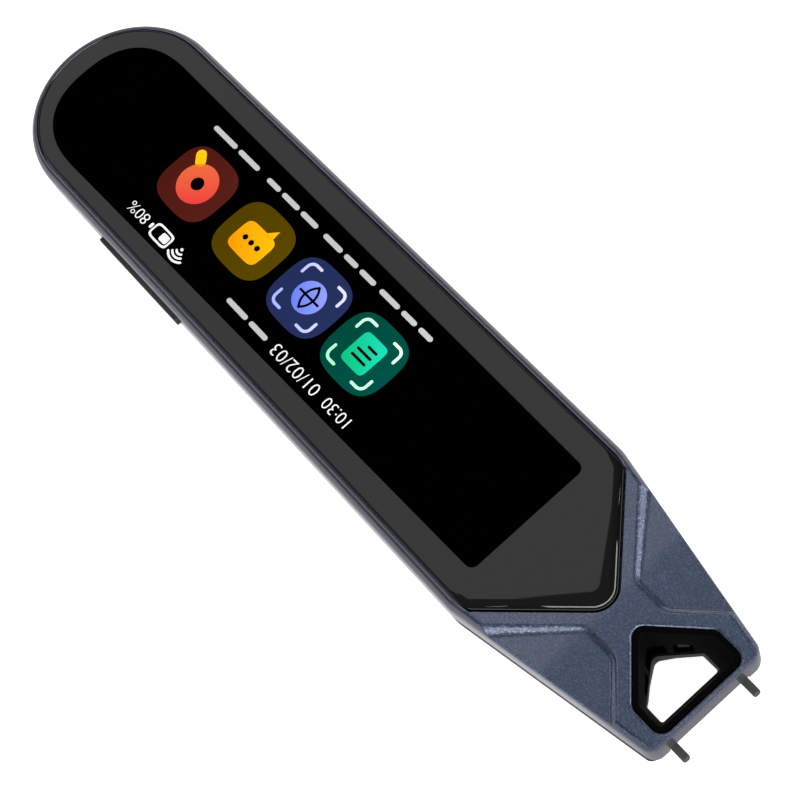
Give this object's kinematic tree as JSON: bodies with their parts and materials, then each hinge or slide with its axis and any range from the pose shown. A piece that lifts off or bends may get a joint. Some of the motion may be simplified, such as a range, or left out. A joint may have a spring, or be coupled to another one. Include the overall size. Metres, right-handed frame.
{
  "type": "scanning pen",
  "caption": "Slim hand scanner with a long touch screen, a see-through nose window, two sprung feet that start a scan, a side key and a charge port.",
  "frame": {"origin": "middle of the outline, on the surface that the pen lies on", "axes": "+X toward the nose and its two feet, +Z out of the screen, the side key is on -Y"},
  "size_m": [0.154, 0.0338, 0.0122],
  "materials": {
    "blue_grey_case": "pearl gloss",
    "dark_cover": "fine matt",
    "black_liner": "satin",
    "screen_glass": "polished",
    "clear_cover": "polished",
    "display": "gloss",
    "pressed_steel": "satin",
    "tape": "matt",
    "board": "solder mask",
    "chip": "matt",
    "flex": "satin",
    "cell_wrap": "satin",
    "pale_plastic": "matt",
    "pad_foam": "matt",
    "lead_black": "satin",
    "lead_red": "satin",
    "gasket_rubber": "matt",
    "mesh_cloth": "woven",
    "foot_plastic": "satin"
  },
  "bodies": {
    "pen": {"upper_case": "blue_grey_case", "rear_cover": "dark_cover", "window_liner": "black_liner", "screen_glass": "screen_glass", "screen_tape": "tape", "display_panel": "display", "display_tray": "pressed_steel", "display_flex": "flex", "main_board": "board", "shield_can": "pressed_steel", "processor_chip": "chip", "memory_chip": "chip", "radio_module": "pressed_steel", "power_chip": "chip", "nose_microphone": "pressed_steel", "battery_cell": "cell_wrap", "battery_pad": "pad_foam", "battery_plug": "pale_plastic", "battery_lead_minus": "lead_black", "battery_lead_plus": "lead_red", "speaker": "black_liner", "speaker_gasket": "gasket_rubber", "speaker_mesh": "mesh_cloth", "charge_port_shell": "pressed_steel", "charge_port_tongue": "chip", "port_board": "board", "tail_microphone": "pressed_steel", "board_ribbon": "flex", "camera_holder": "black_liner", "camera_lens": "display", "camera_board": "board", "camera_flex": "flex", "lens_cover": "clear_cover", "scan_light_left": "pale_plastic", "scan_light_right": "pale_plastic", "trigger_spring_left": "pressed_steel", "trigger_spring_right": "pressed_steel", "trigger_switch": "pressed_steel", "side_switch": "pressed_steel", "side_key_flex": "flex", "antenna": "flex", "case_screw_1": "pressed_steel", "case_screw_2": "pressed_steel", "case_screw_3": "pressed_steel", "case_screw_4": "pressed_steel"},
    "trigger": {"trigger_fork": "foot_plastic"},
    "trigger_stem": {"trigger_switch_stem": "chip"},
    "key": {"side_key": "foot_plastic"},
    "key_stem": {"side_switch_stem": "chip"}
  },
  "joints": [
    {"name": "trigger_slide", "type": "slide", "parent": "pen", "child": "trigger", "axis": [-1, 0, 0], "range_m": [0, 0.0005], "stiffness_N_per_m": 900, "springref_m": -0.0006, "deforming": ["trigger_spring_left", "trigger_spring_right"]},
    {"name": "trigger_stem_slide", "type": "slide", "parent": "pen", "child": "trigger_stem", "axis": [-1, 0, 0], "range_m": [0, 0.0005]},
    {"name": "key_slide", "type": "slide", "parent": "pen", "child": "key", "axis": [0, 1, 0], "range_m": [0, 0.0004], "stiffness_N_per_m": 1500, "springref_m": -0.0005},
    {"name": "key_stem_slide", "type": "slide", "parent": "pen", "child": "key_stem", "axis": [0, 1, 0], "range_m": [0, 0.0004]}
  ],
  "couplings": [
    {"joint": "trigger_stem_slide", "follows": "trigger_slide", "ratio": 1},
    {"joint": "key_stem_slide", "follows": "key_slide", "ratio": 1}
  ]
}
